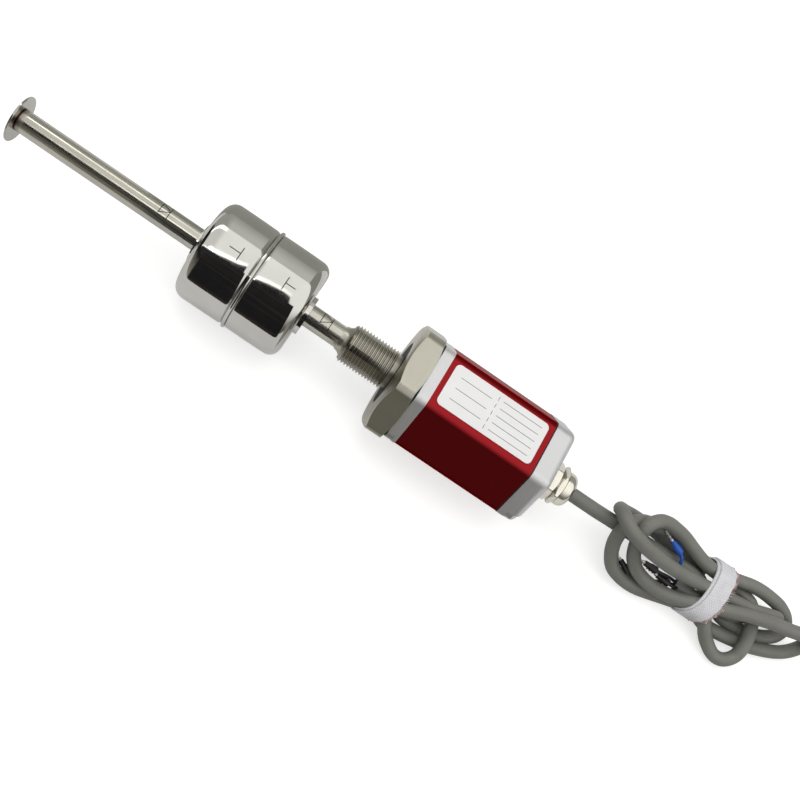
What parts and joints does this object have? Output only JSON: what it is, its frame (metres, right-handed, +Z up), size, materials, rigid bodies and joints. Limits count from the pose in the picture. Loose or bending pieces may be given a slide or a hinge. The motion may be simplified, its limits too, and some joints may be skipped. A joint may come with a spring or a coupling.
{
  "type": "magnetostrictive level sensor",
  "caption": "Rod level sensor: a float slides on a stainless rod below a hexagon thread fitting, a red hexagonal housing and a gland with a tied cable.",
  "frame": {"origin": "on the rod axis, at the flange's seating face", "axes": "+X along the rod axis towards the cable, +Z up out of the labelled flat, as the sensor lies on a flat"},
  "size_m": [0.4098, 0.0532, 0.048],
  "materials": {
    "polished_stainless": "polished",
    "turned_stainless": "satin",
    "screw_steel": "satin",
    "red_anodised": "satin",
    "satin_aluminium": "satin",
    "black_rubber": "matte",
    "nickel_brass": "satin",
    "label_white": "matte",
    "magnet_ferrite": "matte",
    "board_green": "satin",
    "component_black": "satin",
    "terminal_grey": "satin",
    "carrier_plastic": "matte",
    "liner_plastic": "matte",
    "coil_copper": "satin",
    "waveguide_alloy": "satin",
    "core_insulation": "satin",
    "cable_grey": "satin",
    "strap_white": "matte",
    "ferrule_blue": "satin",
    "ferrule_black": "satin"
  },
  "bodies": {
    "sensor": {"sensing_rod": "polished_stainless", "rod_end_plug": "turned_stainless", "stop_washer": "turned_stainless", "process_fitting": "turned_stainless", "sealing_ring": "black_rubber", "front_cap": "satin_aluminium", "front_cap_screws": "screw_steel", "front_gasket": "black_rubber", "housing_tube": "red_anodised", "rear_cap": "satin_aluminium", "rear_cap_screws": "screw_steel", "rear_gasket": "black_rubber", "label_plate": "label_white", "gland_body": "nickel_brass", "gland_washer": "black_rubber", "gland_seal": "black_rubber", "gland_nut": "nickel_brass", "end_damper": "black_rubber", "waveguide_wire": "waveguide_alloy", "waveguide_sleeve": "liner_plastic", "centring_sleeve": "liner_plastic", "pickup_carrier": "carrier_plastic", "pickup_coil": "coil_copper", "bias_magnet": "magnet_ferrite", "circuit_board": "board_green", "board_components": "component_black", "terminal_block": "terminal_grey", "inner_cores": "core_insulation", "cable_lead": "cable_grey", "cable_hank": "cable_grey", "hank_strap": "strap_white", "blue_ferrule": "ferrule_blue", "black_ferrules": "ferrule_black"},
    "float": {"float_front_shell": "polished_stainless", "float_rear_shell": "polished_stainless", "float_centre_tube": "turned_stainless", "float_magnet": "magnet_ferrite"}
  },
  "joints": [
    {"name": "float_slide", "type": "slide", "parent": "sensor", "child": "float", "axis": [1, 0, 0], "range_m": [-0.085, 0.0155]}
  ]
}
